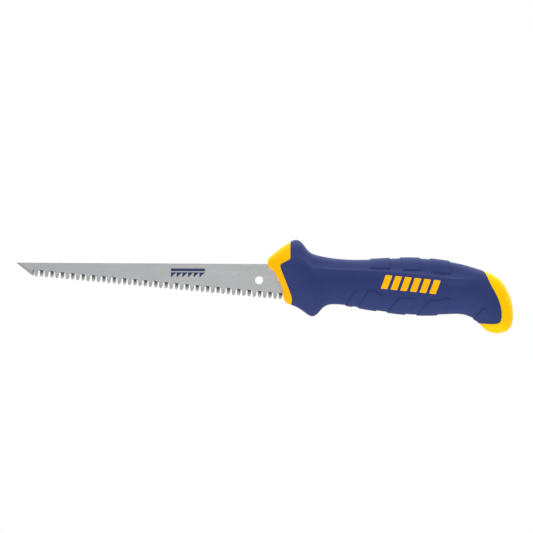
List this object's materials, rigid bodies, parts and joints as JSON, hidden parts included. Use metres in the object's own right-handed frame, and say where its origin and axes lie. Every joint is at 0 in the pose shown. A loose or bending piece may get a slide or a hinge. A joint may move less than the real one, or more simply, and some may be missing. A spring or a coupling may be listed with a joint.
{
  "type": "drywall jab saw",
  "caption": "Drywall jab saw with a fixed triple-ground blade, a plunge point, a hanging hole and a soft overmoulded handle with raised pads.",
  "frame": {"origin": "centre of the blade's hanging hole, halfway through the blade's thickness", "axes": "+X along the blade's back edge towards the handle's butt, +Z from the teeth to the back edge, Y across the blade's thickness, with the saw's left side facing -Y"},
  "size_m": [0.3027, 0.0294, 0.0564],
  "materials": {
    "blade_steel": "ground along its length, clear lacquered",
    "blade_ink": "printed ink",
    "yellow_plastic": "satin moulded polypropylene",
    "rivet_steel": "plain",
    "blue_soft_grip": "fine matte texture",
    "yellow_mark": "satin, flush with the grip"
  },
  "bodies": {
    "root": {"blade": "blade_steel", "blade_mark": "blade_ink", "core_left": "yellow_plastic", "core_right": "yellow_plastic", "tang_rivets": "rivet_steel", "grip": "blue_soft_grip", "grip_mark_left": "yellow_mark", "grip_mark_right": "yellow_mark"}
  },
  "joints": []
}
